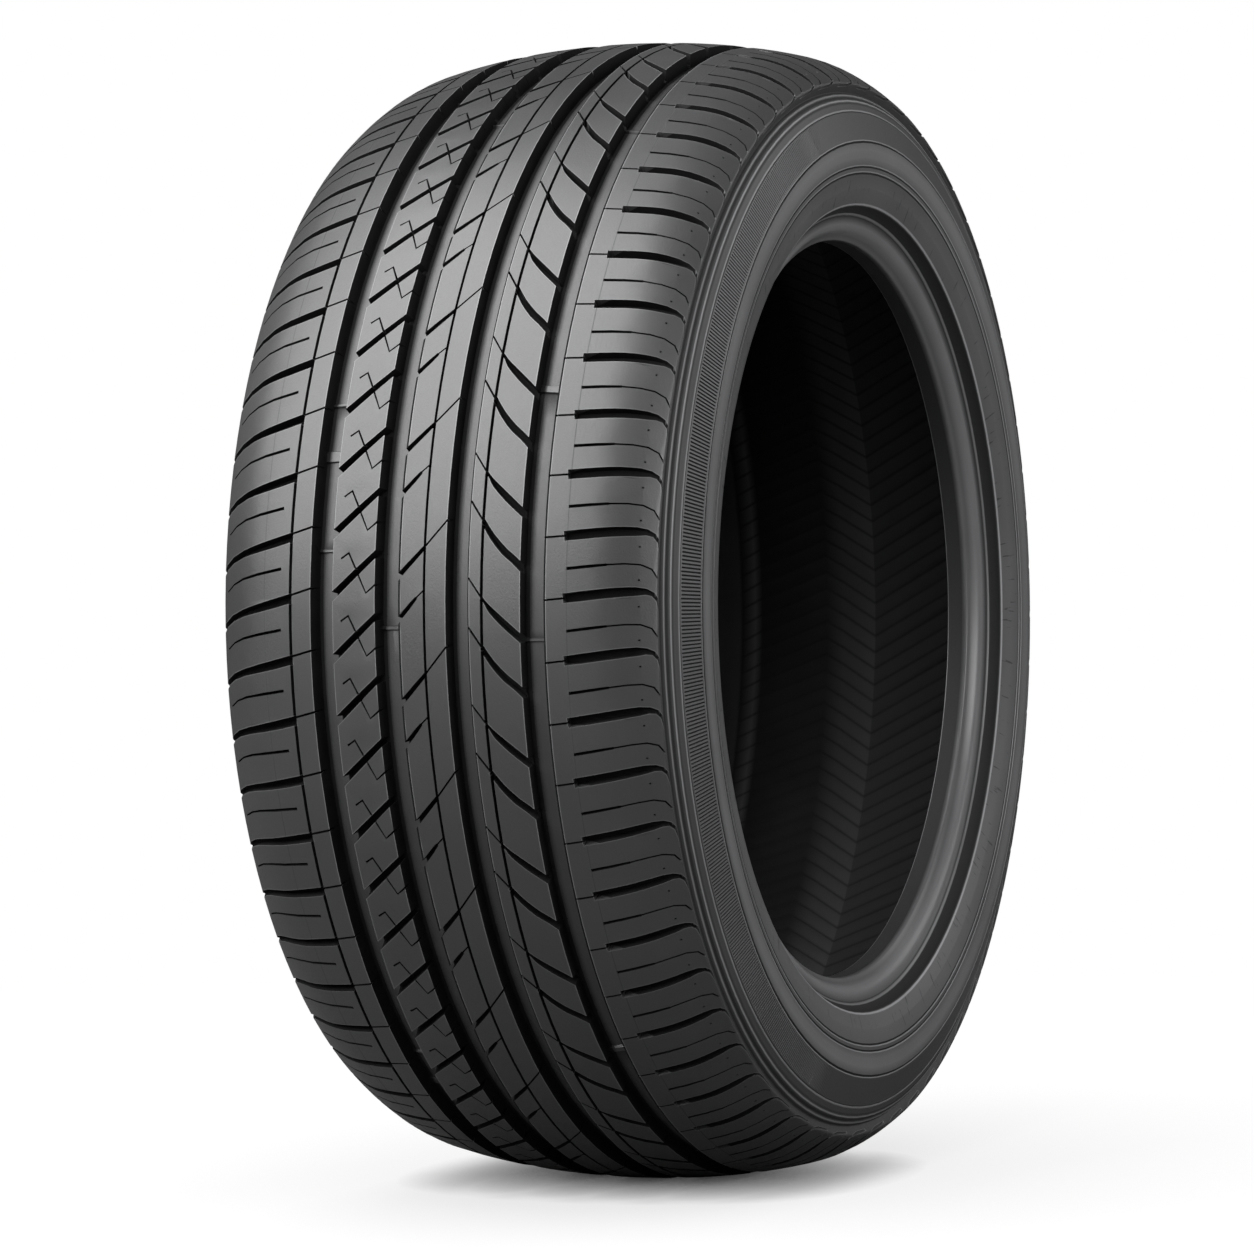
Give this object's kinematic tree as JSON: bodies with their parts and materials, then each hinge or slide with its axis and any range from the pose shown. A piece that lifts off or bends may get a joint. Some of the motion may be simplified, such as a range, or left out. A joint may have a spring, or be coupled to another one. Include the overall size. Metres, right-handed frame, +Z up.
{
  "type": "car tyre",
  "caption": "Wide low-profile car tyre for a 17 inch rim, bare of any wheel, with an asymmetric road tread of ring grooves and shoulder cross grooves.",
  "frame": {"origin": "centre of the wheel: on the axle, midway between the two bead seats", "axes": "Y along the axle with the dressed sidewall towards -Y, +Z up, and the tyre standing on its tread on a small flat spot"},
  "size_m": [0.6798, 0.2846, 0.6785],
  "materials": {
    "rubber": "matte"
  },
  "bodies": {
    "root": {"tyre": "rubber"}
  },
  "joints": []
}
